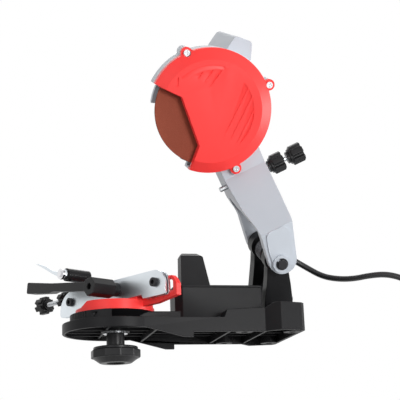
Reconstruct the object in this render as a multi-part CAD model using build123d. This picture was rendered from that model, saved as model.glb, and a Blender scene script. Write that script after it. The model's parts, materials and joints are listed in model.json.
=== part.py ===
from build123d import *
import math
import os

# Bench-mounted electric chainsaw sharpener, in millimetres.
# Origin: centre of the four bench bolts on the mounting plane.
# +X to the hinge end, +Y to the far side, +Z up.

# ---------------------------------------------------------------- driving dimensions
# Main stations
AXIS_X = -143.0         # turntable axis
TURN_Z = 23.5           # underside of the turntable
PIVOT = (13.9, -13.8, 84.6)   # arm hinge, in the plane of the grinding disc
TILT = 27.75            # lean of the hinge and spindle axes above the horizontal
REACH = 159.9           # hinge axis to spindle axis
LEAN = 27.5             # raised arm, from the upright

# Base moulding
PAN_R = 51.4
SIDE_Y = 46.7
FLARE_X = -4.4
EAR = (7.6, 59.7)
HEEL = (30.5, 53.5)
BACK_X = 34.0
DECK = 14.0
STEP_X = -45.0
SHELF = (21.3, 23.3)
HEEL_TOP = 27.0
PAN_FOOT = 4.6
LIP_X = (-84.2, -75.5)
LIP_DROP = 4.9
LIP_START = -121.0
SKIN = 3.0
DECK_SKIN = 3.2
BOLT_X = 48.0
BOLT_Y = 80.0
BOLT_R = 3.25
BOLT_BOSS_R = 8.6
BOLT_HEAD_R = 6.2
DRUM_R = 44.0
DRUM_TOP = 22.6
DRUM_END = -10.0
DRUM_TICKS = [190 + 4 * step for step in range(9)]
CONE_R = (22.0, 37.4)
SPINE_Y = 23.0
SPINE_TOP = 23.2
TOWER_X = (-87.0, 0.3)
TOWER_Y = (-25.0, 11.0)
TOWER_TOP = 48.6
TOWER_BEVEL = (6.5, 2.4)
TAB_X = (-79.5, -49.2)
TAB_Y = (-14.0, 2.0)
TAB_DROP = 4.0          # top of the tab below the hinge axis, square to the head's plane
HUB_R = 14.0
HUB_FOOT = 6.0

# Post and hinge
WALL_NEAR = (13.0, 26.0)      # post walls along the hinge axis, + towards the operator
WALL_FAR = (-39.0, -23.0)
POST_R = 13.0
POST_FRONT = -8.5
POST_BACK = 20.1
WEB = 3.2
FOOT_FLARE = 7.0
PIN_R = 4.5
PIN_SPAN = (-60.0, 46.0)
RUN = 0.05              # radial clearance of a running fit
GAP = 0.3               # clearance between parts that pass each other
BUSH_R = 6.8
BUSH_FLANGE_R = 8.6
BUSH_FLANGE = 1.1
CLIP_R = 5.9
CLIP_T = 1.2
SPRING_R = 10.6
SPRING_WIRE = 2.2
SPRING_TURNS = 7

# Arm
LEG_NEAR = (27.4, 38.5)
LEG_FAR = (-53.0, -40.4)
LEG_PAD = 1.5           # raised face of the near leg
LEG_PAD_EDGE = 3.0
LEG_END = (1.5, -3.0, 14.0)   # centre and radius of the legs' round end
ARM_BACK = -44.0        # far face of the upper arm
ARM_FACE = -3.0         # near face of the upper arm
ARM_WALL = 3.2
SLOPE_X = (34.0, 88.0)  # along the arm, where the near face slopes out to the near leg
FORK_END = 62.0
ARM_TOP = -31.4
BOSS_R = 8.7
BOSS_H = 2.4

# Disc, cover and motor
DISC_R = 54.0
DISC_T = 3.2
DISC_BORE_R = 11.5
COVER_R = 60.9
COVER_WALL = 2.5
COVER_RIM = 5.0         # height of the cover's outer edge before the disc's mid-plane
COVER_LOW = -2.5        # joint between the cover and the grey skirt behind it
COVER_EAR = 2.0         # top of the screw ears
COVER_FACE = 11.0
COVER_BAND = 11.0
PLATE = (-18.0, -12.0)  # backplate behind the disc
PLATE_LUG_R = 55.5      # edge of the backplate where the cover is cut away
COVER_SCREWS = ((116.5, -0.4), (25.8, 2.6), (-61.4, 3.1))   # angle, and distance beyond the cover's edge
COVER_BOSS_R = 5.6
WINDOW = ((-90, 37), (-30, 12.6), (-9.6, -33.7), (-26, -90), (-90, -90))
PLATE_WINDOW = ((-90, 3), (-36, 3), (-22, -38), (-24, -90), (-90, -90))
MOTOR_R = 32.0
MOTOR_WALL = 3.0
MOTOR_END = -74.0
CAP_END = -96.0
CAP_BEVEL = 3.0
HANDLE = ((25.3, 71.8), (42.3, 66.8), (42.0, 49.0), (30.0, 14.0), (1.0, 14.0), (10.8, 47.5), (20.3, 64.4))
HANDLE_ANGLE = 64.0
HANDLE_WALL = 3.4
SWITCH_AT = (29.0, 52.0)
ROTOR_R = 16.5
ROTOR_SPAN = (-66.0, -34.0)
SHAFT_R = 5.0
BEARING_R = 11.0
BEARING_T = 7.0

# Depth stop across the arm
DEPTH_X = REACH - 79.9
DEPTH_T = -8.0
DEPTH_ROD_R = 2.6
DEPTH_TIP = 20.8
DEPTH_LOCK = (-33.6, -49.6)   # from the arm outwards
DEPTH_KNOB = (-54.4, -71.2)
STAR_R = 9.8
STAR_COLLAR = 4.6

# Turntable and chain vise, along and across the rails
VISE_TURN = -60.0       # direction of the rails' near end, from +X
TABLE_R = 38.4
TABLE_T = 4.0
TABLE_RIM = 9.4
RIM_WALL = 3.4
RAIL_T = 2.5
SLOT = 1.7              # chain gauge slot between the rails
RAIL_TOP = 33.3
RAIL_SEAT = 12.3
RAIL_ENDS = (-85.6, 78.6)
RAIL_FOOT = 7.8
BRACKET_T = 5.4
BOLT_AT = ((-67.1, 21.9), (64.1, 21.4))
RAIL_BOLT_R = 2.5
RAIL_HEAD_R = 4.35
CLAMP_AT = (7.0, 23.2)
CLAMP_R = 4.0
HUB_SPAN = (-37.3, -10.2)
LEVER_REACH = 106.0
LEVER_RISE = 8.1
STOP_AT = (-35.0, 42.0)
BARREL_R = 6.5
SADDLE_H = 6.2
PAWL_PIN_R = 3.0
STOP_SCREW = (9.8, 29.0)      # across the rails and up
STOP_ROD_R = 2.5

# Lock knob under the base
STUD_R = 5.0
KNOB_R = 24.4
KNOB_SIDES = 10
KNOB_TOP = -8.4
KNOB_PLATE = 2.9
KNOB_FOOT = -23.9
STEM_R = 8.8

# Mains cord
CORD_R = 3.0
COIL_AT = (210.0, -30.0)
COIL_R = (33.0, 39.0)   # inner and outer turns
COIL_ROWS = 3
RELIEF_AT = (26.0, 15.5, 95.9)
RELIEF_END = (47.0, 15.5, 84.0)
RELIEF_R = (5.2, 3.9)
CORD_ROUTE = [RELIEF_END, (62, 15.5, 75.5), (75.7, 8, 65.0), (88.9, -3, 60.0), (101.4, -16, 58.0),
              (113.3, -30, 58.8),
              (127, -44, 57.5), (142, -57, 49), (158, -66, 34), (174, -71, 18), (191, -72, 6), (210, -69, 3)]
TAIL_ROUTE = [(249, -30, 15), (249.5, -14, 15.3), (252, 2, 16), (257, 17, 18), (263, 31, 18)]
PLUG_R = 18.0
PLUG_L = 34.0
PLUG_PIN = (2.4, 19.0, 19.0)   # pin radius, spacing and length

# ---------------------------------------------------------------- helpers
OUT = {}
TILT_R = math.radians(TILT)
HEAD = Plane(origin=PIVOT, x_dir=(1, 0, 0), z_dir=(0, -math.cos(TILT_R), -math.sin(TILT_R))).location
ARM = HEAD * Rot(0, 0, 90 + LEAN)
DISC = ARM * Pos(REACH, 0, 0) * Rot(0, 0, -90 - LEAN)
TABLE = Pos(AXIS_X, 0, TURN_Z)
VISE = TABLE * Rot(0, 0, VISE_TURN)
RAIL_Y = SLOT / 2 + RAIL_T


def block(x, y, z):
    """Box between the given pairs of limits."""
    size = [abs(p[1] - p[0]) for p in (x, y, z)]
    return Pos(*[(p[0] + p[1]) / 2 for p in (x, y, z)]) * Box(*size)


def rod(radius, low, high, at=(0, 0)):
    """Cylinder along Z between two heights."""
    return Pos(at[0], at[1], (low + high) / 2) * Cylinder(radius, abs(high - low))


def ring(outer, inner, low, high, at=(0, 0)):
    return rod(outer, low, high, at) - rod(inner, low - 1, high + 1, at)


def outline(points, rounds=None):
    """Face through the points, with some of its corners rounded."""
    face = make_face(Polyline(*points, close=True))
    for index, radius in (rounds or {}).items():
        corner = face.vertices().sort_by_distance((*points[index], 0))[0]
        face = fillet(corner, radius)
    return face


def slab(face, low, high):
    """Face in XY, raised between two heights."""
    return Pos(0, 0, low) * extrude(face, amount=high - low)


def upright(face, low, high):
    """Face drawn in X and Z, made solid between two places along Y."""
    return Rot(90, 0, 0) * slab(face, -high, -low)


def along_y(radius, low, high, x, z):
    return upright(Pos(x, z) * Circle(radius), low, high)


def star(radius, height, collar, lobes=6):
    """Star grip along Z with a stepped collar below it."""
    face = Circle(radius * 0.74)
    for turn in range(lobes):
        face += Rot(0, 0, turn * 360 / lobes) * Pos(radius * 0.72, 0) * Rectangle(radius * 0.56,
                                                                                  radius * 0.58)
    face = fillet(face.vertices(), radius * 0.08)
    grip = extrude(face, amount=height)
    grip = chamfer(grip.faces().sort_by(Axis.Z)[-1].edges(), radius * 0.04)
    return grip + rod(radius * 0.62, -collar, 0) + rod(radius * 0.8, -collar * 0.45, 0)


def keep(name, shape):
    """Store one sub-part under its node's name."""
    solids = [solid for solid in shape.solids() if solid.volume > 0.01]
    OUT[name] = solids[0] if len(solids) == 1 else Compound(children=solids)


# ---------------------------------------------------------------- base
def base_plan():
    """Outline of the base from above."""
    join_x = AXIS_X + math.sqrt(PAN_R ** 2 - SIDE_Y ** 2)
    side = [(join_x, -SIDE_Y), (FLARE_X, -SIDE_Y), (EAR[0], -EAR[1]), (HEEL[0], -HEEL[1]),
            (BACK_X, -HEEL[1] + 4)]
    far = [(x, -y) for x, y in reversed(side)]
    edge = Polyline(*side, *far) + ThreePointArc(far[-1], (AXIS_X - PAN_R, 0), side[0])
    return make_face(edge)


def base_profile(skin=0.0):
    """Side view of the base; skin lowers its top to leave the deck."""
    top = [(-210, DECK - skin), (STEP_X + skin / 3, DECK - skin), (STEP_X + 3 + skin / 3, SHELF[0] - skin)]
    top += [(-3.3, SHELF[1] - skin), (3.0, HEEL_TOP - skin), (60, HEEL_TOP - skin)]
    if skin:
        return outline(top + [(60, -20), (-210, -20)])
    foot = [(60, 0), (LIP_X[1], 0), (LIP_X[1], -LIP_DROP), (LIP_X[0], -LIP_DROP)]
    return outline(top + foot + [(LIP_START, PAN_FOOT), (-210, PAN_FOOT)])


def bolt_places():
    return [(sx * BOLT_X / 2, sy * BOLT_Y / 2) for sx in (-1, 1) for sy in (-1, 1)]


def post_face():
    """Side view of a post wall, in the head's plane."""
    wall = outline([(POST_FRONT - 1.5, 6), (POST_FRONT, -20), (POST_FRONT, -120), (POST_BACK + 10, -120),
                    (POST_BACK + 10, -68), (POST_BACK + 6, -60), (POST_BACK, -42), (16.5, -25), (13.0, -12),
                    (12.4, 4)])
    return wall + Circle(POST_R)


def post():
    near = slab(post_face(), *WALL_NEAR)
    far = slab(post_face(), *WALL_FAR)
    span = (WALL_FAR[1] - 1, WALL_NEAR[0] + 1)
    back = outline([(POST_BACK, -120), (POST_BACK, -42), (16.5, -25), (13.4, -13.5), (13.4 - WEB, -13.5),
                    (16.5 - WEB, -26), (POST_BACK - WEB, -43), (POST_BACK - WEB, -120)])
    body = near + far + slab(back, *span)
    for low, high in ((-95, -50), (-50, -20)):
        brace = outline([(POST_FRONT + 3, low), (14, high), (14, high - 4), (POST_FRONT + 3 + 4, low)])
        body += slab(brace, *span)
    floor = outline([(POST_FRONT, -50), (14, -50), (14, -53), (POST_FRONT, -53)])
    body += slab(floor, *span)
    outer = WALL_NEAR[1]
    flare = outline([(-40, outer - 1), (-40, outer), (-58, outer + FOOT_FLARE / 3),
                     (-72, outer + FOOT_FLARE),
                     (-120, outer + FOOT_FLARE), (-120, outer - 1)])
    body += extrude(Plane.YZ.offset(POST_FRONT + 5) * flare, amount=POST_BACK + 5 - POST_FRONT)
    body -= rod(BUSH_R, WALL_FAR[0] - 1, WALL_NEAR[1] + 1)
    return HEAD * body


def tower():
    """Block in front of the post that carries the depth-stop tab."""
    (x0, x1), (y0, y1), (b, c) = TOWER_X, TOWER_Y, TOWER_BEVEL
    plan = outline([(x0 + b, y0), (x1 - c, y0), (x1, y0 + c), (x1, y1), (x0 + b, y1), (x0, y1 - b),
                    (x0, y0 + b)])
    body = slab(plan, DECK - DECK_SKIN, TOWER_TOP - 2) + slab(offset(plan, 0.8), TOWER_TOP - 2, TOWER_TOP)
    hollow = slab(offset(plan, -SKIN), DECK - DECK_SKIN - 20, TOWER_TOP - SKIN)
    face = outline([(TAB_X[0], DECK), (TAB_X[1], DECK), (TAB_X[1], TOWER_TOP), (TAB_X[1] - 6.8, 79),
                    (TAB_X[1] - 11.2, 84),
                    (TAB_X[0] + 3.5, 84), (TAB_X[0] + 1, 80)])
    tab = upright(face, *TAB_Y)
    above = HEAD * block((-200, 200), (-TAB_DROP, 200), (-200, 200))
    return body, hollow, tab - above


def scale_drum():
    """Raised sector round the turntable that carries the angle scale."""
    drum = rod(DRUM_R, DECK - 1, DRUM_TOP) & block((-60, DRUM_END), (-60, 60), (0, 60))
    edge = DRUM_TOP - 2.4
    pointer = outline([(-27.6, edge), (-22.4, edge), (-25, edge - 4.4)])
    drum -= upright(pointer, -DRUM_R, -DRUM_R + 10)
    for turn in DRUM_TICKS:
        drum -= Rot(0, 0, turn) * block((DRUM_R - 0.9, DRUM_R + 1), (-0.45, 0.45), (DECK + 1, DRUM_TOP + 1))
    cone = Pos(0, 0, (DECK + TURN_Z) / 2 - 0.15) * Cone(CONE_R[0], CONE_R[1], TURN_Z - DECK - 0.3)
    return Pos(AXIS_X, 0, 0) * (drum + cone)


def base():
    plan = base_plan()
    solid = slab(plan, -10, 40) & upright(base_profile(), -80, 80)
    inner = slab(offset(plan, -SKIN), -20, 40) & upright(base_profile(DECK_SKIN), -80, 80)
    spine = block((AXIS_X + 20, STEP_X + 5), (-SPINE_Y, SPINE_Y), (DECK - 1, SPINE_TOP))
    spine_in = block((AXIS_X + 40, STEP_X + 5 - SKIN), (-SPINE_Y + SKIN, SPINE_Y - SKIN),
                     (0, SPINE_TOP - SKIN))
    block_up, block_in, tab = tower()
    body = solid - inner
    body += spine
    body -= spine_in
    body += block_up
    body -= block_in
    body += tab - block((-200, 200), (-200, 200), (-50, DECK - DECK_SKIN + 0.5))
    body += scale_drum()
    body += post() & slab(plan, DECK, 140)
    body += ribs() & (inner + spine_in)
    for place in bolt_places():
        body += rod(BOLT_BOSS_R, 0, (SHELF[0] if place[0] < 0 else HEEL_TOP) - 1, place) & slab(plan, 0, 40)
    for place in bolt_places():
        body -= rod(BOLT_R, -5, 60, place)
        body -= rod(BOLT_HEAD_R, 12, 60, place)
    body -= relief_place() * rod(RELIEF_R[0] + 1.4, 0, 40)
    hub = (AXIS_X, 0)
    body += rod(HUB_R, HUB_FOOT, DECK, hub)
    body -= rod(STUD_R + RUN, -5, 40, hub)
    return body


def relief_place():
    """Root of the strain relief, Z along the cord."""
    start, end = Vector(*RELIEF_AT), Vector(*RELIEF_END)
    return Plane(start, z_dir=end - start).location


def ribs():
    """Stiffening ribs under the deck."""
    made = Part()
    for x, foot in ((-153.0, 6.5), (-110.0, 2.5), (-38.0, 0.8), (-2.0, 0.8)):
        made += block((x - 1.1, x + 1.1), (-60, 60), (foot, 30))
    for y in (-30.0, -7.0, 11.0, 30.0):
        made += block((-192, 30), (y - 1.0, y + 1.0), (6.5, 30))
    return made


def hinge_bushes():
    near = ring(BUSH_R, PIN_R + RUN, *WALL_NEAR) + ring(BUSH_FLANGE_R, PIN_R + RUN, WALL_NEAR[1],
                                                        WALL_NEAR[1] + BUSH_FLANGE)
    far = ring(BUSH_R, PIN_R + RUN, *WALL_FAR)
    far += ring(BUSH_FLANGE_R, PIN_R + RUN, WALL_FAR[0] - BUSH_FLANGE, WALL_FAR[0])
    return HEAD * Compound(children=[near, far])


def torsion_spring():
    """Close-wound coil round the hinge pin, one leg on the post, one under the arm."""
    height = SPRING_TURNS * (SPRING_WIRE + 0.5)
    low = (WALL_FAR[1] + WALL_NEAR[0] - height) / 2
    path = Helix(height / SPRING_TURNS, height, SPRING_R, center=(0, 0, low))
    section = Plane(path @ 0, z_dir=path % 0) * Circle(SPRING_WIRE / 2)
    return HEAD * sweep(section, path=path)


# ---------------------------------------------------------------- arm, cover and motor
def arm_outline():
    """Arm from the side: along the arm, then towards its underside."""
    x, y, radius = LEG_END
    edge = REACH - COVER_R
    face = outline([(4, 10.8), (35, 7.5), (42, 8), (50, 9.8), (58, 11.5), (75, 12.4), (edge - 5, 12.9),
                    (edge + 17, 14),
                    (REACH - 10, 20), (REACH - 10, ARM_TOP), (edge - 13, ARM_TOP), (57.5, -29.2),
                    (37, -27.2),
                    (-2, -16.6), (x, y)], {1: 12, 4: 20, 12: 12})
    return face + Pos(x, y) * Circle(radius)


def arm_depth():
    """Arm from its underside: along the arm, then along the hinge axis."""
    end = REACH + COVER_R
    return outline([(-60, LEG_NEAR[1]), (SLOPE_X[0], LEG_NEAR[1]), (SLOPE_X[1], ARM_FACE), (end, ARM_FACE),
                    (end, ARM_BACK), (74, ARM_BACK), (46, LEG_FAR[0]), (-60, LEG_FAR[0])], {5: 20, 6: 12})


def from_below(face, low, high):
    """Face drawn along the arm and along the hinge axis, made solid towards the arm's underside."""
    return Rot(90, 0, 0) * slab(face, -high, -low)


def arm_core():
    """Forked beam: two legs, an open hollow between them and a closed end at the motor."""
    body = slab(arm_outline(), LEG_FAR[0] - 1, LEG_NEAR[1] + 1) & from_below(arm_depth(), -60, 60)
    side = outline([(REACH, ARM_TOP + ARM_WALL), (57.5, ARM_TOP + ARM_WALL + 2.2),
                    (38, ARM_TOP + ARM_WALL + 4.2),
                    (22, ARM_TOP + ARM_WALL + 8), (22, 4.2), (38, 4.6), (FORK_END, 8.4),
                    (REACH - COVER_R, 9.7),
                    (REACH, 17)])
    span = block((-30, REACH - MOTOR_R - ARM_WALL), (-60, 60), (LEG_FAR[1], LEG_NEAR[0]))
    hollow = slab(side, LEG_FAR[1], LEG_NEAR[0]) & from_below(offset(arm_depth(), -ARM_WALL), -60, 60) & span
    body -= hollow - Pos(REACH, 0, 0) * rod(COVER_R, PLATE[0], 60)
    notch = outline([(20, LEG_NEAR[0]), (36, LEG_NEAR[0]), (FORK_END, -30), (50, LEG_FAR[1]),
                     (20, LEG_FAR[1])])
    body -= from_below(notch, -4.6, 60)
    body -= block((-40, 25), (-60, 60), (LEG_FAR[1], LEG_NEAR[0]))
    body -= from_below(outline([(66, 8.2), (66, 9.4), (88.5, -7.7), (88.5, -8.9)]), 8, 60)
    x, y, radius = LEG_END
    pad = outline([(2.5, 8), (18.3, 6.5), (SLOPE_X[0], 2.4), (SLOPE_X[0], -22.2), (-1, -13.7)], {2: 6, 3: 8})
    pad += Pos(x, y) * Circle(radius - LEG_PAD_EDGE)
    return body + slab(pad, LEG_NEAR[1] - 0.5, LEG_NEAR[1] + LEG_PAD)


def screw_places():
    return [((COVER_R + out) * math.cos(math.radians(turn)), (COVER_R + out) * math.sin(math.radians(turn)))
            for turn, out in COVER_SCREWS]


def cover_face(radius):
    """Round face with its three screw ears."""
    face = Circle(radius)
    for turn, out in COVER_SCREWS:
        face += Rot(0, 0, turn) * (Pos(radius + out, 0) * Circle(COVER_BOSS_R) + Pos(radius - 4,
                                                                                     0) * Rectangle(8, 13))
    return face


def backplate():
    """Plate behind the disc and the skirt in front of it that the cover closes."""
    cut_away = outline(WINDOW)
    plate = slab(cover_face(COVER_R), *PLATE)
    plate -= slab(cut_away - Circle(PLATE_LUG_R), PLATE[0] - 1, PLATE[1] + 1)
    plate -= slab(outline(PLATE_WINDOW), PLATE[0] - 1, PLATE[1] + 1)
    skirt = slab(cover_face(COVER_R) - Circle(COVER_R - COVER_WALL), PLATE[1], COVER_LOW)
    return plate + (skirt - slab(cut_away, PLATE[1] - 1, COVER_LOW + 1))


def motor_face():
    """Round motor case with the lifting handle on its upper side."""
    return Circle(MOTOR_R) + outline(HANDLE, {0: 5, 1: 5})


def motor_tube():
    tube = slab(motor_face(), MOTOR_END, PLATE[0] + 0.5)
    tube -= slab(Circle(MOTOR_R - MOTOR_WALL), MOTOR_END - 1, PLATE[0] - 3)
    pocket = offset(outline(HANDLE), -HANDLE_WALL) - Circle(MOTOR_R)
    return tube - slab(pocket, MOTOR_END - 1, PLATE[0] - 6)


def arm():
    body = ARM * arm_core() - DISC * rod(COVER_R - COVER_WALL, PLATE[1], 30)
    bore = DISC * rod(MOTOR_R - MOTOR_WALL, MOTOR_END - 1, PLATE[0] - 3)
    body += DISC * (backplate() + motor_tube())
    body -= bore
    body -= DISC * rod(BEARING_R, PLATE[0] - 3 - 1, PLATE[0] + 2)
    body -= DISC * rod(SHAFT_R + 2, PLATE[0], 2)
    face = LEG_NEAR[1] + LEG_PAD
    body += HEAD * (rod(BOSS_R, face - 1, face + BOSS_H) + rod(BOSS_R, LEG_FAR[0] - BOSS_H, LEG_FAR[0] + 1))
    body -= HEAD * rod(PIN_R, -90, 90)
    body -= ARM * Pos(DEPTH_X, 0, DEPTH_T) * Rot(90, 0, 0) * rod(DEPTH_ROD_R + RUN, -60, 60)
    for place in screw_places():
        body -= DISC * rod(1.7, PLATE[0] - 1, COVER_LOW + 1, place)
    return body


def switch_place():
    return DISC * Pos(*SWITCH_AT, CAP_END) * Rot(0, 0, HANDLE_ANGLE)


def motor_cover():
    body = slab(motor_face(), CAP_END, MOTOR_END)
    body -= slab(Circle(MOTOR_R - MOTOR_WALL), CAP_END + MOTOR_WALL, MOTOR_END + 1)
    body = chamfer(body.faces().sort_by(Axis.Z)[0].outer_wire().edges(), CAP_BEVEL)
    for row in range(-3, 4):
        span = math.sqrt((MOTOR_R - 8) ** 2 - (row * 7.0) ** 2)
        body -= block((-span, span), (row * 7 - 1.5, row * 7 + 1.5),
                      (CAP_END - 1, CAP_END + MOTOR_WALL + 0.5))
    body += ring(BEARING_R + 3, BEARING_R, CAP_END + MOTOR_WALL - 0.5, CAP_END + MOTOR_WALL + BEARING_T)
    return DISC * body - switch_place() * block((-8.4, 8.4), (-5.4, 5.4), (-1, 4.5))


def disc_cover():
    """Red cover: dished front with a bevelled rim, screw ears and the working cut-out."""
    low = COVER_LOW
    body = slab(cover_face(COVER_R), low, COVER_RIM)
    drop = COVER_FACE - COVER_RIM
    body = body - slab(Circle(COVER_R + 20) - Circle(COVER_R), COVER_EAR, COVER_RIM + 1)
    body += Pos(0, 0, COVER_RIM + drop / 2) * Cone(COVER_R, COVER_R - COVER_BAND, drop)
    inside = rod(COVER_R - COVER_WALL, low - 1, COVER_RIM)
    inside += Pos(0, 0, COVER_RIM + (drop - COVER_WALL) / 2) * Cone(COVER_R - COVER_WALL,
                                                                    COVER_R - COVER_BAND,
                                                                 drop - COVER_WALL)
    body -= inside
    body -= slab(outline(WINDOW), low - 1, COVER_FACE + 1)
    for place in screw_places():
        body -= rod(1.75, low - 1, COVER_FACE, place)
        body -= rod(3.5, COVER_EAR, COVER_FACE + 5, place)
    return DISC * body


def disc_cover_screws():
    screws = []
    top = COVER_EAR + 2.2
    for place in screw_places():
        head = rod(3.2, COVER_EAR, top, place)
        cross = block((-2.2, 2.2), (-0.45, 0.45), (top - 0.8, top + 1)) + block(
            (-0.45, 0.45), (-2.2, 2.2), (top - 0.8, top + 1))
        head -= Pos(place[0], place[1], 0) * cross
        screws.append(head + rod(1.7, PLATE[0] + 0.2, COVER_EAR, place))
    return DISC * Compound(children=screws)


def spindle():
    """Motor shaft, rotor, disc, flanges and nut, all on the spindle axis."""
    half = DISC_T / 2
    seat = -half - 3.6
    keep("rotor_shaft", DISC * (rod(SHAFT_R, CAP_END + MOTOR_WALL + 0.5, 7.9)))
    keep("rotor_core", DISC * ring(ROTOR_R, SHAFT_R, *ROTOR_SPAN))
    keep("inner_flange", DISC * (ring(20, SHAFT_R, seat, -half) + ring(DISC_BORE_R - 0.05, SHAFT_R, -half,
                                                                       half - 0.4)))
    keep("grinding_disc", DISC * ring(DISC_R, DISC_BORE_R, -half, half))
    keep("outer_flange", DISC * ring(18, SHAFT_R, half, half + 2.4))
    nut = extrude(RegularPolygon(8.2, 6), amount=3.8) - rod(SHAFT_R, -1, 9)
    keep("spindle_nut", DISC * Pos(0, 0, half + 2.4) * nut)


def motor_inside():
    stator = ring(MOTOR_R - MOTOR_WALL - 0.2, ROTOR_R + 0.8, *ROTOR_SPAN)
    for turn in range(4):
        stator -= Rot(0, 0, 45 + 90 * turn) * block((ROTOR_R, ROTOR_R + 7.5), (-4.5, 4.5), (-200, 0))
    keep("stator", DISC * stator)
    front = ring(BEARING_R, SHAFT_R + RUN, PLATE[0] - 3.0, PLATE[0] + 2)
    rear = ring(BEARING_R, SHAFT_R + RUN, CAP_END + MOTOR_WALL, CAP_END + MOTOR_WALL + BEARING_T)
    keep("bearings", DISC * Compound(children=[front, rear]))


def hinge_pin():
    """Pin with a slotted ring at each end."""
    keep("hinge_pin", HEAD * rod(PIN_R, *PIN_SPAN))
    near, far = LEG_NEAR[1] + LEG_PAD + BOSS_H + 0.1, LEG_FAR[0] - BOSS_H - 0.1
    notch = Rot(0, 0, 135) * block((0, CLIP_R + 1), (-1.5, 1.5), (-90, 90))
    clips = [ring(CLIP_R, PIN_R, near, near + CLIP_T) - notch,
             ring(CLIP_R, PIN_R, far - CLIP_T, far) - notch]
    keep("hinge_clips", HEAD * Compound(children=clips))


def depth_stop():
    """Screw across the arm with its lock knob and its grip; Z runs away from the arm's underside."""
    at = ARM * Pos(DEPTH_X, 0, DEPTH_T) * Rot(90, 0, 0)
    end = 8.0
    keep("depth_screw", at * rod(DEPTH_ROD_R, -DEPTH_TIP, end - DEPTH_KNOB[0]))
    for name, (start, stop), depth in (("depth_lock_knob", DEPTH_LOCK, 40),
                                       ("depth_knob", DEPTH_KNOB, end + GAP)):
        knob = star(STAR_R, start - stop - STAR_COLLAR, STAR_COLLAR)
        knob -= rod(DEPTH_ROD_R + RUN, -STAR_COLLAR - 1, depth - STAR_COLLAR)
        keep(name, at * Pos(0, 0, STAR_COLLAR - start) * knob)


def switch():
    """Rocker switch on the handle's rear."""
    frame = block((-11, 11), (-8, 8), (-1.4, 0)) - block((-8.4, 8.4), (-5.4, 5.4), (-2, 1))
    keep("switch_frame", switch_place() * frame)
    side = outline([(-7.7, 1.2), (-7.7, -0.8), (0, -1.3), (7.7, -3.0), (7.7, 1.2)])
    keep("switch_rocker", switch_place() * upright(side, -5.2, 5.2))


# ---------------------------------------------------------------- turntable and chain vise
def turntable():
    """Disc with a part rim, and the wall that the rails are bolted to."""
    body = rod(TABLE_R, 0, TABLE_T)
    rim = ring(TABLE_R, TABLE_R - RIM_WALL, 0, TABLE_RIM) & block((-60, 34.6), (-60, 2), (0, 60))
    rim -= upright(outline([(-60, 0), (1 - TABLE_R, 1.8), (8 - TABLE_R, TABLE_RIM), (8 - TABLE_R, 30),
                            (-60, 30)]), -80, 80)
    body += Rot(0, 0, -VISE_TURN) * rim
    body += block((-36, 36), (-RAIL_Y, 12), (TABLE_T - 1, RAIL_SEAT - 0.1)) & rod(TABLE_R, 0, 60)
    wall = outline([(-45, 3), (57.3, 3.2), (86.9, 7.1), (86.9, 18), (84.6, 22), (80.5, 26.2), (74, 26.8),
                    (60, 21),
                    (-45, 21)])
    wall -= outline([(69.5, 12), (82, 12), (82, 20.5), (79, 23.6), (69.5, 23.6)])
    body += upright(wall, RAIL_Y, RAIL_Y + BRACKET_T)
    tail = outline([(-85, 15), (-85, 22), (-78, 27), (-58, 29.5), (-44, 20), (-44, 4), (-62, 8), (-76, 12)])
    body += upright(tail, RAIL_Y, RAIL_Y + 3.4)
    lug = outline([(-88.3, 22), (-88.3, 34), (-79, 34), (-79, 22)], {1: 3, 2: 3})
    body += upright(lug, RAIL_Y + 2.2, STOP_SCREW[0] + 5)
    body -= Pos(-84, *STOP_SCREW) * Rot(0, 90, 0) * Cylinder(STOP_ROD_R + RUN, 30)
    for place in BOLT_AT:
        body -= along_y(RAIL_BOLT_R, RAIL_Y - 1, RAIL_Y + 3.4, *place)
    body -= along_y(CLAMP_R, 0, RAIL_Y + BRACKET_T + 1, *CLAMP_AT)
    body -= rod(STUD_R, -1, TABLE_T - 1)
    return VISE * body


def rail_face():
    (left, right), foot = RAIL_ENDS, RAIL_FOOT
    return outline([(left, foot), (left, RAIL_TOP), (right, RAIL_TOP), (right, foot + 0.7),
                    (46.5, foot + 0.7),
                    (44, RAIL_SEAT), (-45, RAIL_SEAT), (-60.4, foot)], {0: 4, 1: 20, 2: 16, 3: 3.4})


def rails():
    for name, low in (("rail_near", -RAIL_Y), ("rail_far", SLOT / 2)):
        plate = upright(rail_face(), low, low + RAIL_T)
        for place in BOLT_AT:
            plate -= along_y(RAIL_BOLT_R, -20, 20, *place)
        plate -= along_y(CLAMP_R, -20, 20, *CLAMP_AT)
        keep(name, VISE * plate)
    spacers, bolts = [], []
    for place in BOLT_AT:
        spacers.append(along_y(5.5, -SLOT / 2, SLOT / 2, *place) - along_y(RAIL_BOLT_R, -9, 9, *place))
        bolt = along_y(RAIL_BOLT_R, -RAIL_Y, RAIL_Y + 3.3, *place)
        bolt += along_y(RAIL_HEAD_R, -RAIL_Y - 3.2, -RAIL_Y, *place)
        bolt -= upright(Pos(*place) * RegularPolygon(2.3, 6), -RAIL_Y - 4, -RAIL_Y - 1.2)
        bolts.append(bolt)
    keep("rail_spacers", VISE * Compound(children=spacers))
    keep("rail_bolts", VISE * Compound(children=bolts))


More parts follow.
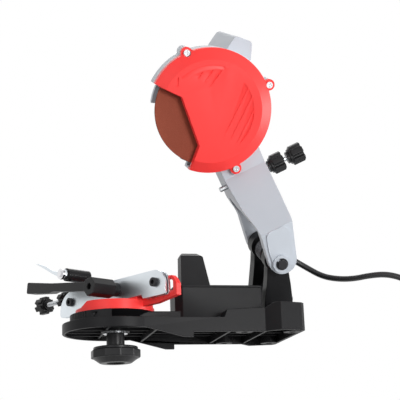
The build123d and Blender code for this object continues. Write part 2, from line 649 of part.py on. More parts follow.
def clamp():
    x, z = CLAMP_AT
    end, start = HUB_SPAN
    stud = along_y(CLAMP_R, end + 12, RAIL_Y + BRACKET_T + 3, x, z)
    keep("clamp_stud", VISE * stud)
    keep("clamp_nut", VISE * (upright(Pos(x, z) * RegularPolygon(7.4, 6), RAIL_Y + BRACKET_T,
                                      RAIL_Y + BRACKET_T + 2.8)
                              - along_y(CLAMP_R, 0, 30, x, z)))
    collar = along_y(6.9, start + 0.2, -RAIL_Y, x, z) - along_y(CLAMP_R, -30, 30, x, z)
    keep("clamp_collar", VISE * collar)
    hub = upright(Pos(x, z) * RegularPolygon(9.4, 6, rotation=10), end, start)
    lever = outline([(4, -4.6), (18 - LEVER_REACH * 0.74, -3.9), (12 - LEVER_REACH * 0.74, -5.5),
                     (-LEVER_REACH, -5.9),
                     (-LEVER_REACH, 5.8), (15 - LEVER_REACH * 0.74, 4.3), (4, 4.6)], {3: 2, 4: 2})
    bar = upright(Pos(x, z) * Rot(0, 0, -LEVER_RISE) * lever, end + 1, end + 11)
    body = hub + bar - along_y(CLAMP_R + RUN, end + 11.5, 0, x, z)
    body -= upright(Pos(x, z) * RegularPolygon(3.4, 6, rotation=10), end - 1, end + 5)
    keep("clamp_lever", VISE * body)


def chain_stop():
    """Carriage over the rails, its screw, and the pawl on a pin."""
    x, z = STOP_AT
    top = RAIL_TOP + SADDLE_H
    saddle = block((x - 10, x + 5), (-RAIL_Y, STOP_SCREW[0] + 4.5), (RAIL_TOP + GAP, top))
    leg = block((x - 10, x + 2), (RAIL_Y + BRACKET_T + GAP, STOP_SCREW[0] + 4.5), (20, top))
    tongue = block((x - 9, x + 5), (-SLOT / 2 + 0.1, SLOT / 2 - 0.1), (RAIL_TOP - 5, top))
    barrel = along_y(BARREL_R, -33, -RAIL_Y - 3, x, z)
    barrel += block((x - BARREL_R, x + BARREL_R), (-RAIL_Y - 4, 0), (RAIL_TOP + GAP, top))
    body = saddle + leg + tongue + barrel
    body -= along_y(PAWL_PIN_R, -40, -20, x, z)
    hole = Pos(x - 6, *STOP_SCREW) * Rot(0, 90, 0) * Cylinder(STOP_ROD_R, 9)
    keep("stop_carriage", VISE * (body - hole))
    screw_end = -136.0
    along = Pos((screw_end + x - 3) / 2, *STOP_SCREW) * Rot(0, 90, 0)
    keep("stop_screw", VISE * along * Cylinder(STOP_ROD_R, x - 3 - screw_end))
    at = Pos(-127, *STOP_SCREW) * Rot(0, -90, 0)
    keep("stop_knob", VISE * at * (star(9.2, 11, 3) - rod(STOP_ROD_R + RUN, -10, 9.3)))
    at = Pos(-91.9, *STOP_SCREW) * Rot(0, -90, 0)
    keep("stop_lock_knob", VISE * at * (star(8.8, 7, 3) - rod(STOP_ROD_R + RUN, -10, 20)))
    pin = along_y(PAWL_PIN_R, -41.5, -20, x, z)
    keep("pawl_pin", VISE * pin)
    pawl = outline([(5, -4), (5, 4), (-2, 5), (-8, 3.8), (-16, 6.2), (-29, 13.5), (-39.7, 17.2), (-46, 18.3),
                    (-37, 13.9), (-29, 9.7), (-16, 2.8), (-7, -1.5), (-4, -4.6)], {0: 3, 1: 3})
    blade = upright(Pos(x, z) * pawl, -37.4, -35.1) - along_y(PAWL_PIN_R + RUN, -40, -30, x, z)
    keep("pawl", VISE * blade)
    keep("pawl_ring", VISE * (along_y(5.2, -40, -37.7, x, z) - along_y(PAWL_PIN_R, -50, 0, x, z)))


# ---------------------------------------------------------------- lock knob
def lock_knob():
    keep("turntable_stud", TABLE * rod(STUD_R, -38.5, TABLE_T - 1.0))
    keep("lock_washer", Pos(AXIS_X, 0) * ring(12, STUD_R + RUN, HUB_FOOT - 1.6, HUB_FOOT))
    under = KNOB_TOP - KNOB_PLATE
    bowl = fillet(RegularPolygon(KNOB_R, KNOB_SIDES, rotation=19.4).vertices(), 5)
    body = slab(Circle(KNOB_R - 2.8), under, KNOB_TOP)
    body += slab(bowl, KNOB_FOOT + 5, under)
    body += Pos(0, 0, KNOB_FOOT + 2.5) * Cone(KNOB_R - 9, KNOB_R - 2, 5)
    body += rod(STEM_R, KNOB_TOP - 1, HUB_FOOT - 1.6)
    body -= rod(STUD_R + RUN, KNOB_FOOT + 5.5, 20)
    body -= Pos(0, 0, KNOB_FOOT) * Cylinder(9, 5)
    keep("lock_knob", Pos(AXIS_X, 0) * body)


# ---------------------------------------------------------------- mains cord
def cord_radii(points):
    """Largest arc that fits each corner of a route."""
    radii = []
    for before, at, after in zip(points, points[1:], points[2:]):
        run_in, run_out = Vector(*at) - Vector(*before), Vector(*after) - Vector(*at)
        half = math.radians(run_in.get_angle(run_out)) / 2
        radii.append(0.45 * min(run_in.length, run_out.length) / math.tan(half))
    return radii


def cord_tube(points):
    radii = cord_radii(points)
    print("cord radii", [round(r, 1) for r in radii])
    path = FilletPolyline(*points, radius=radii)
    section = Plane(path @ 0, z_dir=path % 0) * Circle(CORD_R)
    tube = sweep(section, path=path)
    print("cord length", round(path.length, 1), "volume ratio",
          round(tube.volume / (path.length * math.pi * CORD_R ** 2), 4))
    return tube


def mains_cord():
    keep("mains_cord", cord_tube(CORD_ROUTE))
    height = 2 * CORD_R * COIL_ROWS
    coil = rod(COIL_R[1] + CORD_R, 0, height, COIL_AT) - rod(COIL_R[0] - CORD_R, -1, height + 1, COIL_AT)
    keep("cord_coil", fillet(coil.edges().filter_by(GeomType.CIRCLE), CORD_R * 0.8))
    keep("cord_tail", cord_tube(TAIL_ROUTE))
    length = (Vector(*RELIEF_END) - Vector(*RELIEF_AT)).length
    profile = [(0, 0), (RELIEF_R[0] + 1.4, 0), (RELIEF_R[0] + 1.4, 2.0)]
    for groove in range(4):
        at = 4 + groove * (length - 5) / 4
        radius = RELIEF_R[0] + (RELIEF_R[1] - RELIEF_R[0]) * at / length
        profile += [(radius, at - 1.9), (radius, at + 1.2), (radius - 0.9, at + 1.25),
                    (radius - 0.9, at + 2.7)]
    profile += [(RELIEF_R[1], length - 2), (RELIEF_R[1], length), (0, length)]
    relief = revolve(Plane.XZ * outline(profile), Axis.Z)
    keep("strain_relief", relief_place() * relief)


def plug():
    """Two-pin mains plug on the bench, its pins pointing away from the cord."""
    end, before = Vector(*TAIL_ROUTE[-1]), Vector(*TAIL_ROUTE[-2])
    heading = Vector(end.X - before.X, end.Y - before.Y, 0)
    at = Plane(end, x_dir=(0, 0, 1), z_dir=heading).location
    body = revolve(Plane.XZ * outline([(0, 0), (5.5, 0), (7.5, 10), (12, 16), (PLUG_R - 1.5, 21),
                                       (PLUG_R, 23),
                                       (PLUG_R, PLUG_L), (0, PLUG_L)]), Axis.Z)
    flats = block((-30, 30), (-13.5, 13.5), (-1, 30)) + block((-30, 30), (-30, 30), (29, PLUG_L + 1))
    body &= Rot(0, 0, 90) * flats
    keep("plug_body", at * body)
    radius, spacing, length = PLUG_PIN
    pins = [rod(radius, PLUG_L, PLUG_L + length, (0, side * spacing / 2)) for side in (-1, 1)]
    keep("plug_pins", at * Compound(children=pins))


# ---------------------------------------------------------------- build and write
def build():
    keep("base", base())
    keep("hinge_bushes", hinge_bushes())
    keep("torsion_spring", torsion_spring())
    keep("arm", arm())
    keep("motor_cover", motor_cover())
    keep("disc_cover", disc_cover())
    keep("disc_cover_screws", disc_cover_screws())
    spindle()
    motor_inside()
    hinge_pin()
    depth_stop()
    switch()
    keep("turntable", turntable())
    rails()
    clamp()
    chain_stop()
    lock_knob()
    mains_cord()
    plug()


build()
os.makedirs("parts", exist_ok=True)
for node, shape in OUT.items():
    export_step(shape, f"parts/{node}.step")
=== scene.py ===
import json
import math

import bmesh
import bpy
from mathutils import Matrix, Vector

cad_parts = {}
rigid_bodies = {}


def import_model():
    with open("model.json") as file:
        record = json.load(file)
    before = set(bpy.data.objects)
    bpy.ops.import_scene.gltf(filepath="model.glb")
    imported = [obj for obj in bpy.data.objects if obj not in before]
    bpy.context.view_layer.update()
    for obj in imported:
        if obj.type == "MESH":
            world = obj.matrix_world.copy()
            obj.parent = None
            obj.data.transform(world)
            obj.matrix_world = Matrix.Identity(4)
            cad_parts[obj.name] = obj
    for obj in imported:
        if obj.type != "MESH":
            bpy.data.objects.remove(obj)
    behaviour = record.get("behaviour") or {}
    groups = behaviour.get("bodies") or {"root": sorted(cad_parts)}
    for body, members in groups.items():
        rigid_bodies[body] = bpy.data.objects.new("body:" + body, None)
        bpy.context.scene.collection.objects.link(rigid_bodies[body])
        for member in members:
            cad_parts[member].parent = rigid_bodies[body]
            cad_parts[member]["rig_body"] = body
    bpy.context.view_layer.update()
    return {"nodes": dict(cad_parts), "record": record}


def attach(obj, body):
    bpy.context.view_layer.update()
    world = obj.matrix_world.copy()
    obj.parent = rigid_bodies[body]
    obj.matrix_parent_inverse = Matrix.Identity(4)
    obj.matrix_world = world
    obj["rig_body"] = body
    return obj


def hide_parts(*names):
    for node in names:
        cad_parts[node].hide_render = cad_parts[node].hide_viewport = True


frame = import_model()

MM = 0.001

# ---------------------------------------------------------------- places taken from the CAD
TILT = math.radians(27.75)          # lean of the hinge and spindle axes
LEAN = math.radians(27.5)           # raised arm, from the upright
REACH = 159.9 * MM                  # hinge pin to spindle
PIVOT = Vector((13.9, -13.8, 84.6)) * MM
AXIS_X = -143.0 * MM                # turntable's axis and seat
TURN_Z = 23.5 * MM
VISE_TURN = math.radians(-60.0)


def plane(origin, x_axis, z_axis):
    """Matrix of a local frame from its origin, X and Z directions."""
    x, z = Vector(x_axis).normalized(), Vector(z_axis).normalized()
    y = z.cross(x)
    matrix = Matrix((x, y, z)).transposed().to_4x4()
    matrix.translation = origin
    return matrix


HEAD = plane(PIVOT, (1, 0, 0), (0, -math.cos(TILT), -math.sin(TILT)))
ARM = HEAD @ Matrix.Rotation(math.pi / 2 + LEAN, 4, "Z")
DISC = ARM @ Matrix.Translation((REACH, 0, 0)) @ Matrix.Rotation(-math.pi / 2 - LEAN, 4, "Z")
TABLE = Matrix.Translation((AXIS_X, 0, TURN_Z))
VISE = TABLE @ Matrix.Rotation(VISE_TURN, 4, "Z")


def linked(name, data):
    """Object with the given data, put in the scene."""
    piece = bpy.data.objects.new(name, data)
    bpy.context.scene.collection.objects.link(piece)
    return piece


# ---------------------------------------------------------------- camera
CAMERA_AT = Vector((-306.43, -1044.91, -147.17)) * MM
CAMERA_YAW = math.radians(13.61)
CAMERA_PITCH = math.radians(15.04)
CAMERA_ROLL = math.radians(-2.16)
LENS = 97.94
SENSOR = 36.0
NEAR_CLIP = 0.01


def make_camera():
    yaw, pitch, roll = CAMERA_YAW, CAMERA_PITCH, CAMERA_ROLL
    ahead = Vector((math.sin(yaw) * math.cos(pitch), math.cos(yaw) * math.cos(pitch), math.sin(pitch)))
    level = Vector((math.cos(yaw), -math.sin(yaw), 0))
    up = level.cross(ahead)
    right = level * math.cos(roll) + up * math.sin(roll)
    data = bpy.data.cameras.new("camera")
    data.lens, data.sensor_width, data.clip_start = LENS, SENSOR, NEAR_CLIP
    camera = linked("camera", data)
    camera.matrix_world = plane(CAMERA_AT, right, -ahead)
    bpy.context.scene.camera = camera


make_camera()

# ---------------------------------------------------------------- shader group and materials
GRAIN_DETAIL = 3.0
CLOUD_DETAIL = 4.0
CLOUD_RANGE = (0.3, 0.7)            # part of the slow noise that spans the whole change of shade
ROUGH_SPREAD = (0.85, 1.2)          # roughness in the grain's lows and on its highs
RELIEF = 0.0002
SPECKLE_SHARE = 0.45


def new_group(name, inputs, outputs):
    """Shader node group with named float inputs and outputs."""
    group = bpy.data.node_groups.new(name, "ShaderNodeTree")
    for label, value in inputs:
        socket = group.interface.new_socket(label, in_out="INPUT", socket_type="NodeSocketFloat")
        socket.default_value = value
    for label in outputs:
        group.interface.new_socket(label, in_out="OUTPUT", socket_type="NodeSocketFloat")
    return group, group.nodes.new("NodeGroupInput"), group.nodes.new("NodeGroupOutput")


def grain_group():
    """Fine moulded or cast surface: a height and a slow change of shade."""
    inputs = [("Grain", 1500.0), ("Cloud", 25.0), ("Shade Depth", 0.1)]
    group, source, sink = new_group("surface_grain", inputs, ("Height", "Shade"))
    link = group.links.new
    where = group.nodes.new("ShaderNodeTexCoord")
    fine = group.nodes.new("ShaderNodeTexNoise")
    slow = group.nodes.new("ShaderNodeTexNoise")
    for noise, scale, detail in ((fine, "Grain", GRAIN_DETAIL), (slow, "Cloud", CLOUD_DETAIL)):
        noise.inputs["Detail"].default_value = detail
        link(where.outputs["Object"], noise.inputs["Vector"])
        link(source.outputs[scale], noise.inputs["Scale"])
    low = group.nodes.new("ShaderNodeMath")
    low.operation = "SUBTRACT"
    low.inputs[0].default_value = 1.0
    link(source.outputs["Shade Depth"], low.inputs[1])
    spread = group.nodes.new("ShaderNodeMapRange")
    spread.inputs["From Min"].default_value, spread.inputs["From Max"].default_value = CLOUD_RANGE
    spread.inputs["To Max"].default_value = 1.0
    link(slow.outputs["Fac"], spread.inputs["Value"])
    link(low.outputs["Value"], spread.inputs["To Min"])
    link(fine.outputs["Fac"], sink.inputs["Height"])
    link(spread.outputs["Result"], sink.inputs["Shade"])
    return group


GRAIN = grain_group()


def finish(name, colour, roughness, bump, metallic=0.0, gloss=0.5, grain=1500.0, shade=0.12, cloud=25.0,
           stretch=None, speckle=None):
    """Principled material whose colour, roughness and bump follow the grain group."""
    material = bpy.data.materials.new(name)
    material.use_nodes = True
    nodes, link = material.node_tree.nodes, material.node_tree.links.new
    shader = nodes["Principled BSDF"]
    shader.inputs["Metallic"].default_value = metallic
    shader.inputs["Specular IOR Level"].default_value = gloss
    surface = nodes.new("ShaderNodeGroup")
    surface.node_tree = GRAIN
    surface.inputs["Grain"].default_value = grain
    surface.inputs["Cloud"].default_value = cloud
    surface.inputs["Shade Depth"].default_value = shade
    tint = nodes.new("ShaderNodeMix")
    tint.data_type, tint.blend_type = "RGBA", "MULTIPLY"
    tint.inputs["Factor"].default_value = 1.0
    tint.inputs["A"].default_value = (*colour, 1)
    link(surface.outputs["Shade"], tint.inputs["B"])
    colour_out = tint.outputs["Result"]
    if speckle:
        colour_out = add_speckle(nodes, link, colour_out, grain, *speckle)
    link(colour_out, shader.inputs["Base Color"])
    rough = nodes.new("ShaderNodeMapRange")
    rough.inputs["To Min"].default_value = roughness * ROUGH_SPREAD[0]
    rough.inputs["To Max"].default_value = roughness * ROUGH_SPREAD[1]
    link(surface.outputs["Height"], rough.inputs["Value"])
    link(rough.outputs["Result"], shader.inputs["Roughness"])
    relief = nodes.new("ShaderNodeBump")
    relief.inputs["Strength"].default_value = bump
    relief.inputs["Distance"].default_value = RELIEF
    height = brushed_height(nodes, link, stretch) if stretch else surface.outputs["Height"]
    link(height, relief.inputs["Height"])
    link(relief.outputs["Normal"], shader.inputs["Normal"])
    return material


def brushed_height(nodes, link, scale):
    """Noise drawn out along the rails, for rolled plate."""
    where = nodes.new("ShaderNodeTexCoord")
    turn = nodes.new("ShaderNodeMapping")
    turn.inputs["Rotation"].default_value = (0, 0, -VISE_TURN)
    turn.inputs["Scale"].default_value = scale
    noise = nodes.new("ShaderNodeTexNoise")
    noise.inputs["Scale"].default_value = 1.0
    link(where.outputs["Object"], turn.inputs["Vector"])
    link(turn.outputs["Vector"], noise.inputs["Vector"])
    return noise.outputs["Fac"]


def add_speckle(nodes, link, colour_out, scale, dark, light):
    """Grains of darker and lighter grit over a colour."""
    where = nodes.new("ShaderNodeTexCoord")
    cells = nodes.new("ShaderNodeTexVoronoi")
    cells.inputs["Scale"].default_value = scale
    ramp = nodes.new("ShaderNodeValToRGB")
    ramp.color_ramp.elements[0].color = (*dark, 1)
    ramp.color_ramp.elements[1].color = (*light, 1)
    mix = nodes.new("ShaderNodeMix")
    mix.data_type = "RGBA"
    mix.inputs["Factor"].default_value = SPECKLE_SHARE
    link(where.outputs["Object"], cells.inputs["Vector"])
    link(cells.outputs["Color"], ramp.inputs["Fac"])
    link(colour_out, mix.inputs["A"])
    link(ramp.outputs["Color"], mix.inputs["B"])
    return mix.outputs["Result"]


LOOKS = {
    "black_plastic": dict(colour=(0.009, 0.009, 0.010), roughness=0.42, gloss=0.14, bump=0.25, shade=0.2),
    "knob_plastic": dict(colour=(0.013, 0.013, 0.014), roughness=0.34, gloss=0.22, bump=0.12),
    "red_plastic": dict(colour=(0.94, 0.048, 0.045), roughness=0.38, gloss=0.24, bump=0.08, shade=0.05),
    "grey_housing": dict(colour=(0.50, 0.535, 0.585), roughness=0.40, gloss=0.35, bump=0.06, shade=0.04),
    "zinc_plate": dict(colour=(0.77, 0.82, 0.86), roughness=0.30, metallic=1.0, bump=0.10, shade=0.14,
                       stretch=(60, 2500, 2500)),
    "zinc_steel": dict(colour=(0.62, 0.64, 0.66), roughness=0.26, metallic=1.0, bump=0.05),
    "chrome": dict(colour=(0.80, 0.80, 0.82), roughness=0.10, metallic=1.0, bump=0.02),
    "dark_steel": dict(colour=(0.025, 0.025, 0.028), roughness=0.35, metallic=0.6, bump=0.05),
    "spring_steel": dict(colour=(0.050, 0.050, 0.055), roughness=0.32, metallic=1.0, bump=0.03),
    "bearing_steel": dict(colour=(0.60, 0.60, 0.62), roughness=0.18, metallic=1.0, bump=0.03),
    "laminated_steel": dict(colour=(0.25, 0.25, 0.27), roughness=0.40, metallic=0.9, bump=0.2),
    "aluminium": dict(colour=(0.72, 0.72, 0.74), roughness=0.28, metallic=1.0, bump=0.05),
    "abrasive": dict(colour=(0.28, 0.070, 0.042), roughness=0.80, gloss=0.12, grain=2600.0, bump=0.5,
                     shade=0.14, cloud=60.0, speckle=((0.20, 0.042, 0.023), (0.36, 0.095, 0.058))),
    "bronze": dict(colour=(0.50, 0.33, 0.15), roughness=0.35, metallic=1.0, bump=0.05),
    "black_rubber": dict(colour=(0.010, 0.010, 0.011), roughness=0.26, gloss=0.5, bump=0.05),
    "nickel": dict(colour=(0.68, 0.66, 0.60), roughness=0.20, metallic=1.0, bump=0.02),
    "switch_plastic": dict(colour=(0.012, 0.012, 0.013), roughness=0.22, gloss=0.4, bump=0.03),
}
FINISH = {name: finish(name, **look) for name, look in LOOKS.items()}
SLOT_OF = {part["node"]: part["material_slot"] for part in frame["record"]["subparts"]}


# ---------------------------------------------------------------- helpers for pieces
def paint(piece, slot_name):
    piece.data.materials.clear()
    piece.data.materials.append(FINISH[slot_name])


def mesh_of(form, name):
    """Mesh with the faces of a finished bmesh."""
    mesh = bpy.data.meshes.new(name)
    form.to_mesh(mesh)
    form.free()
    return mesh


def new_verts(grown):
    """Vertices among what an extrusion has made."""
    return [part for part in grown if isinstance(part, bmesh.types.BMVert)]


def nearest(points, vert):
    """Point of an outline that a vertex stands over or under."""
    return min(points, key=lambda point: math.hypot(point[0] - vert.co.x, point[1] - vert.co.y))


def new_piece(name, form, place, body, slot_name):
    """Object from a finished bmesh in millimetres, set in its place, with its body and finish."""
    bmesh.ops.recalc_face_normals(form, faces=form.faces)
    bmesh.ops.transform(form, matrix=place @ Matrix.Scale(MM, 4), verts=form.verts)
    piece = linked(name, mesh_of(form, name))
    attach(piece, body)
    paint(piece, slot_name)
    return piece


# ---------------------------------------------------------------- recesses in the cover's face
COVER_FACE = 11.0
CUT_ABOVE = 1.0             # height of a cutter above the face
RECESS = 0.9
FLUSH = -0.06               # where a recess runs out, its floor is a hair above the face
ARC_STEPS = 10
END_STEPS = 4
RUN_OUT = 0.25              # share of a louvre's length over which it runs out at its foot
LOUVRES = (                 # lean in degrees, place of the deep edge, width, radius at the end, foot
    (67.0, 21.9, 7.0, 41.9, -18.2),
    (67.0, 29.2, 7.0, 41.9, -18.4),
    (67.0, 36.6, 7.0, 41.9, -20.5),
    (56.5, -16.1, 6.6, 40.6, 14.7),
    (56.5, -23.2, 6.6, 39.9, 17.3),
    (56.5, -30.2, 4.4, 39.5, 16.7),
)
FACET_R = 42.0              # chord-shaped recess at the cover's edge, between two angles in degrees
FACET_TURN = (6.0, -46.0)
CREST_R = (44.6, 41.6)      # deep and flush edges of the crescent
CREST_TURN = (77.5, 136.0)
CREST_END = [(-34.7, 31.6, RECESS), (-34.5, 22.0, RECESS), (-38.6, 24.0, FLUSH), (-37.5, 30.0, FLUSH)]


def recess_cutter(outline):
    """Cutter for a shallow recess whose outline points are (x, y, depth under the face)."""
    form = bmesh.new()
    face = form.faces.new([form.verts.new((x, y, COVER_FACE + CUT_ABOVE)) for x, y, _ in outline])
    grown = bmesh.ops.extrude_face_region(form, geom=[face])["geom"]
    for vert in new_verts(grown):
        vert.co.z = COVER_FACE - nearest(outline, vert)[2]
    bmesh.ops.triangulate(form, faces=[part for part in grown if isinstance(part, bmesh.types.BMFace)])
    bmesh.ops.recalc_face_normals(form, faces=form.faces)
    bmesh.ops.transform(form, matrix=DISC @ Matrix.Scale(MM, 4), verts=form.verts)
    return mesh_of(form, "recess_cutter")


def arc(radius, start, end, depth):
    """Outline points along an arc round the spindle, between two angles in degrees."""
    turns = [math.radians(start + (end - start) * step / ARC_STEPS) for step in range(ARC_STEPS + 1)]
    return [(radius * math.cos(turn), radius * math.sin(turn), depth) for turn in turns]


def louvre(lean, line, width, end_r, foot):
    """Recess that deepens towards one long edge, ends on an arc and runs out at its foot."""
    along = Vector((math.cos(math.radians(lean)), math.sin(math.radians(lean))))
    across = Vector((along.y, -along.x))
    tip = math.sqrt(end_r ** 2 - line ** 2)
    deep = foot * (1 - RUN_OUT) + tip * RUN_OUT
    points = [(*(across * line + along * foot), FLUSH), (*(across * line + along * deep), RECESS)]
    for step in range(END_STEPS + 1):
        place = line - width * step / END_STEPS
        reach = math.sqrt(end_r ** 2 - place ** 2)
        points.append((*(across * place + along * reach), RECESS + (FLUSH - RECESS) * step / END_STEPS))
    points.append((*(across * (line - width) + along * foot), FLUSH))
    return points


def cover_recesses():
    """Outlines of the louvres, the facet at the cover's edge and the crescent with its end."""
    facet = arc(FACET_R, *FACET_TURN, RECESS)
    facet[0], facet[-1] = (*facet[0][:2], FLUSH), (*facet[-1][:2], FLUSH)
    crest = arc(CREST_R[0], *CREST_TURN, RECESS) + arc(CREST_R[1], *reversed(CREST_TURN), FLUSH)
    return [louvre(*sizes) for sizes in LOUVRES] + [facet, crest, CREST_END]


def carved(mesh, cutter_mesh):
    """Mesh with a cutter taken away from it."""
    block, cutter = linked("carved_block", mesh), linked("carved_cutter", cutter_mesh)
    cut = block.modifiers.new("recesses", "BOOLEAN")
    cut.operation, cut.object, cut.solver, cut.use_self = "DIFFERENCE", cutter, "EXACT", True
    result = bpy.data.meshes.new_from_object(block.evaluated_get(bpy.context.evaluated_depsgraph_get()))
    for piece in (block, cutter):
        bpy.data.objects.remove(piece)
    return result


# ---------------------------------------------------------------- CAD nodes with softened edges
CORD_NODES = ("mains_cord", "cord_coil", "cord_tail")
THREADED = ("depth_screw", "stop_screw")
EDGE = {
    "base": 0.45, "arm": 1.4, "motor_cover": 1.4, "disc_cover": 0.5, "turntable": 0.6, "lock_knob": 0.8,
    "clamp_lever": 0.7, "clamp_collar": 0.4, "stop_carriage": 0.6, "depth_knob": 0.9, "depth_lock_knob": 0.9,
    "stop_knob": 0.8, "stop_lock_knob": 0.8, "rail_near": 0.2, "rail_far": 0.2, "plug_body": 0.8,
    "switch_frame": 0.3, "switch_rocker": 0.3, "grinding_disc": 0.25, "pawl": 0.15, "rail_bolts": 0.25,
    "disc_cover_screws": 0.15, "hinge_pin": 0.4,
}
EDGE_SEGMENTS = 3
FOLD = {"disc_cover": 20}   # least angle, in degrees, that counts as an edge
USUAL_FOLD = 32
UNCLAMPED = ("base",)       # its short edges would hold back all of its rounding
WELD = 1e-6
FLAT = math.radians(0.6)


def softened(node, width):
    """Copy of a CAD node with clean faces, smooth curves and rounded edges, standing for it."""
    source = frame["nodes"][node]
    fold = math.radians(FOLD.get(node, USUAL_FOLD))
    form = bmesh.new()
    form.from_mesh(source.data)
    bmesh.ops.remove_doubles(form, verts=form.verts, dist=WELD)
    bmesh.ops.dissolve_limit(form, angle_limit=FLAT, verts=form.verts, edges=form.edges)
    mesh = mesh_of(form, node + "_dressed")
    if node == "disc_cover":
        for outline in cover_recesses():
            mesh = carved(mesh, recess_cutter(outline))
    mesh.shade_smooth()
    mesh.set_sharp_from_angle(angle=fold)
    piece = linked(node + "_dressed", mesh)
    bevel = piece.modifiers.new("rounded_edges", "BEVEL")
    bevel.width, bevel.segments, bevel.limit_method = width * MM, EDGE_SEGMENTS, "ANGLE"
    bevel.angle_limit = fold
    bevel.use_clamp_overlap = node not in UNCLAMPED
    bevel.harden_normals = True
    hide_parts(node)
    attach(piece, source["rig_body"])
    paint(piece, SLOT_OF[node])


def dress_nodes():
    for node, cad in frame["nodes"].items():
        if node in CORD_NODES or node in THREADED:
            continue
        if node in EDGE:
            softened(node, EDGE[node])
        else:
            cad.data.materials.clear()
            cad.data.materials.append(FINISH[SLOT_OF[node]])


# ---------------------------------------------------------------- mains cord
CORD_R = 3.0
CORD_ROUTE = [(47, 15.5, 84), (62, 15.5, 75.5), (75.7, 8, 65.0), (88.9, -3, 60.0), (101.4, -16, 58.0),
              (113.3, -30, 58.8), (127, -44, 57.5), (142, -57, 49), (158, -66, 34), (174, -71, 18),
              (191, -72, 6)]
TAIL_ROUTE = [(249.5, -14, 15.3), (252, 2, 16), (257, 17, 18), (263, 31, 18)]
COIL_AT = (210.0, -30.0)
COIL_R = (33.0, 39.0)       # inner and outer turns
COIL_ROWS = 3
COIL_START = math.radians(-90)
TURN_POINTS = 12
TURN_OVER = 1 / math.cos(math.pi / TURN_POINTS)     # control points lie outside the turn they shape
SHIFT_POINTS = 4            # points over which a turn passes to the next
OUT_POINTS = 3
TUBE_STEPS = 6


def coil_point(radius, step, z):
    angle = COIL_START + 2 * math.pi * step / TURN_POINTS
    out = radius * TURN_OVER
    return COIL_AT[0] + out * math.cos(angle), COIL_AT[1] + out * math.sin(angle), z


def coil_points():
    """Turns of the put-away coil, from the bench up, ending level with its outer side."""
    inner, outer = COIL_R
    turns = [(outer, 0), (inner, 0), (inner, 1), (outer, 1), (outer, 2), (inner, 2)]
    points = []
    for (radius, row), after in zip(turns, turns[1:] + turns[-1:]):
        for step in range(TURN_POINTS):
            shift = max(0.0, (step - TURN_POINTS + SHIFT_POINTS) / SHIFT_POINTS)
            z = CORD_R * (1 + 2 * (row + (after[1] - row) * shift))
            points.append(coil_point(radius + (after[0] - radius) * shift, step, z))
    top = CORD_R * (2 * COIL_ROWS - 1)
    return points + [coil_point(inner + (outer - inner) * step / OUT_POINTS, step, top)
                     for step in range(OUT_POINTS + 1)]


def mains_cord():
    """Cord from the strain relief to the plug. Its bevel is 1 m deep and each point's radius scales it,
    because the size of a curve is taken with its points' radii."""
    data = bpy.data.curves.new("mains_lead", "CURVE")
    data.dimensions, data.bevel_depth, data.bevel_resolution = "3D", 1.0, TUBE_STEPS
    data.resolution_u, data.use_fill_caps = TUBE_STEPS, True
    points = CORD_ROUTE + coil_points() + TAIL_ROUTE
    spline = data.splines.new("NURBS")
    spline.points.add(len(points) - 1)
    for control, point in zip(spline.points, points):
        control.co = (*(c * MM for c in point), 1.0)
        control.radius = CORD_R * MM
    spline.order_u = 3
    spline.use_endpoint_u = True
    lead = linked("mains_lead", data)
    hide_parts(*CORD_NODES)
    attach(lead, "base_unit")
    paint(lead, "black_rubber")


# ---------------------------------------------------------------- return wall of the cover's window
LIP = ((-53.2, 21.3, 5.6), (-47.8, 19.1, 8.9), (-30.8, 12.2, 9.2), (-10.4, -34.1, 9.2), (-14.4, -47.8, 9.0),
       (-16.5, -55.0, 6.0))         # points along the window's edge, each with the wall's top
LIP_FOOT = 4.0
LIP_WALL = 1.6


def window_lip():
    """Return wall of the cover along the edge of its window."""
    form = bmesh.new()
    feet = [form.verts.new((x, y, LIP_FOOT)) for x, y, _ in LIP]
    edges = [form.edges.new(pair) for pair in zip(feet, feet[1:])]
    for vert in new_verts(bmesh.ops.extrude_edge_only(form, edges=edges)["geom"]):
        vert.co.z = nearest(LIP, vert)[2]
    bmesh.ops.recalc_face_normals(form, faces=form.faces)
    bmesh.ops.solidify(form, geom=form.faces[:], thickness=-LIP_WALL)
    new_piece("cover_window_lip", form, DISC, "head", "red_plastic")


# ---------------------------------------------------------------- threaded screws
PITCH = 1.25
THREAD_STEPS = 12
CORE_DEPTH = 0.45 * PITCH   # thread's root under its crest
CREST = (0.42 * PITCH, 0.58 * PITCH)
ROOT_SINK = 0.2             # how far the thread's foot reaches into the core
THREAD_LEAD = 0.3 * PITCH   # how far the thread starts inside the plain point
TIP_ROUND = 0.7
TIP_SEGMENTS = 3
DEPTH_SCREW_AT = (80.0, 0, -8.0)
STOP_SCREW_AT = (0, 9.8, 29.0)


def rod(form, radius, start, end):
    """Vertices of a closed round rod between two heights."""
    middle = Matrix.Translation((0, 0, (start + end) / 2))
    return bmesh.ops.create_cone(form, cap_ends=True, segments=2 * THREAD_STEPS, radius1=radius,
                                 radius2=radius, depth=end - start, matrix=middle)["verts"]


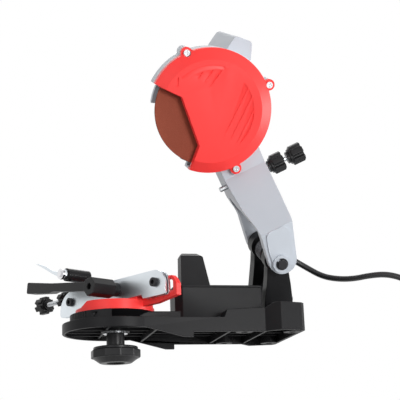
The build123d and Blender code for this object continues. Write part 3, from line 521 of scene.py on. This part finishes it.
def screw(node, place, radius, start, end, plain):
    """Threaded rod in place of a plain CAD rod, with a plain point at its start."""
    form = bmesh.new()
    core = radius - CORE_DEPTH
    rod(form, core, start, end)
    point = rod(form, radius, start, start + plain)
    tip_rim = {edge for vert in point for edge in vert.link_edges
               if all(abs(end_vert.co.z - start) < 0.01 for end_vert in edge.verts)}
    bmesh.ops.bevel(form, geom=list(tip_rim), offset=TIP_ROUND, affect="EDGES", segments=TIP_SEGMENTS,
                    profile=0.5, material=-1)
    turns = int((end - start - plain - PITCH) / PITCH)
    low, foot = start + plain - THREAD_LEAD, core - ROOT_SINK
    corners = ((foot, low), (radius, low + CREST[0]), (radius, low + CREST[1]), (foot, low + PITCH))
    profile = [form.verts.new((x, 0, z)) for x, z in corners]
    edges = [form.edges.new(pair) for pair in zip(profile, profile[1:] + profile[:1])]
    bmesh.ops.spin(form, geom=profile + edges, cent=(0, 0, 0), axis=(0, 0, 1),
                   dvec=(0, 0, PITCH / THREAD_STEPS), angle=2 * math.pi * turns,
                   steps=turns * THREAD_STEPS, use_merge=False)
    bmesh.ops.holes_fill(form, edges=[edge for edge in form.edges if edge.is_boundary], sides=4)
    piece = new_piece(node + "_thread", form, place, frame["nodes"][node]["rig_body"], SLOT_OF[node])
    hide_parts(node)


def screws():
    depth_at = ARM @ Matrix.Translation(Vector(DEPTH_SCREW_AT) * MM) @ Matrix.Rotation(math.pi / 2, 4, "X")
    screw("depth_screw", depth_at, radius=2.6, start=-20.8, end=62.4, plain=13.0)
    stop_at = VISE @ Matrix.Translation(Vector(STOP_SCREW_AT) * MM) @ Matrix.Rotation(math.pi / 2, 4, "Y")
    screw("stop_screw", stop_at, radius=2.5, start=-136.0, end=-38.0, plain=9.0)


dress_nodes()
mains_cord()
window_lip()
screws()

# ---------------------------------------------------------------- studio
FLOOR_Z = -0.30
FLOOR_HALF = 6.0
FLOOR_ROUGH = 0.9
FLOOR_BOUNCE = 0.36         # how light the floor is for bounced light
FLOOR_GLOW = 0.58           # what it adds for the camera and for reflections
SKY = 0.52
AIM = (-0.05, 0, 0.12)
LAMPS = (                   # name, place, aim, size, power
    ("key", (0.5, -1.6, 0.0), AIM, 0.55, 16),
    ("side", (1.2, -0.3, 0.0), (0, 0, 0.15), 0.55, 11),
    ("fill", (-1.2, -1.3, 0.35), AIM, 0.9, 4),
    ("rim", (0.1, 1.3, 1.0), AIM, 0.9, 4),
)


def seen_directly(nodes, link):
    """1 for camera, glossy and transmission rays, 0 for the rest."""
    paths = nodes.new("ShaderNodeLightPath")
    total = paths.outputs["Is Camera Ray"]
    for ray in ("Is Glossy Ray", "Is Transmission Ray"):
        more = nodes.new("ShaderNodeMath")
        more.operation = "MAXIMUM"
        link(total, more.inputs[0])
        link(paths.outputs[ray], more.inputs[1])
        total = more.outputs["Value"]
    return total


def floor_white():
    """Floor that is near white to the camera and to reflections, and duller as a source of bounced light."""
    material = bpy.data.materials.new("floor_white")
    material.use_nodes = True
    nodes, link = material.node_tree.nodes, material.node_tree.links.new
    shader = nodes["Principled BSDF"]
    shader.inputs["Roughness"].default_value = FLOOR_ROUGH
    shader.inputs["Base Color"].default_value = (*[FLOOR_BOUNCE] * 3, 1)
    shader.inputs["Emission Strength"].default_value = 1.0
    glow = nodes.new("ShaderNodeMix")
    glow.data_type = "RGBA"
    glow.inputs["A"].default_value = (0, 0, 0, 1)
    glow.inputs["B"].default_value = (*[FLOOR_GLOW] * 3, 1)
    link(seen_directly(nodes, link), glow.inputs["Factor"])
    link(glow.outputs["Result"], shader.inputs["Emission Color"])
    return material


def floor():
    form = bmesh.new()
    bmesh.ops.create_grid(form, x_segments=1, y_segments=1, size=FLOOR_HALF)
    bmesh.ops.translate(form, verts=form.verts, vec=(0, 0, FLOOR_Z))
    piece = linked("floor", mesh_of(form, "floor"))
    piece.data.materials.append(floor_white())


def sky():
    world = bpy.data.worlds.new("studio")
    bpy.context.scene.world = world
    world.use_nodes = True
    nodes, link = world.node_tree.nodes, world.node_tree.links.new
    background = nodes["Background"]
    background.inputs["Color"].default_value = (1, 1, 1, 1)
    strength = nodes.new("ShaderNodeMapRange")
    strength.inputs["To Min"].default_value = SKY
    strength.inputs["To Max"].default_value = 1.0
    link(seen_directly(nodes, link), strength.inputs["Value"])
    link(strength.outputs["Result"], background.inputs["Strength"])


def lamp(name, place, aim, size, power):
    data = bpy.data.lights.new(name, "AREA")
    data.shape, data.size, data.energy = "DISK", size, power
    direction = Vector(aim) - Vector(place)
    turn = direction.to_track_quat("-Z", "Y").to_matrix().to_4x4()
    linked(name, data).matrix_world = Matrix.Translation(place) @ turn


floor()
sky()
for sizes in LAMPS:
    lamp(*sizes)

bpy.context.scene.view_settings.view_transform = "Standard"
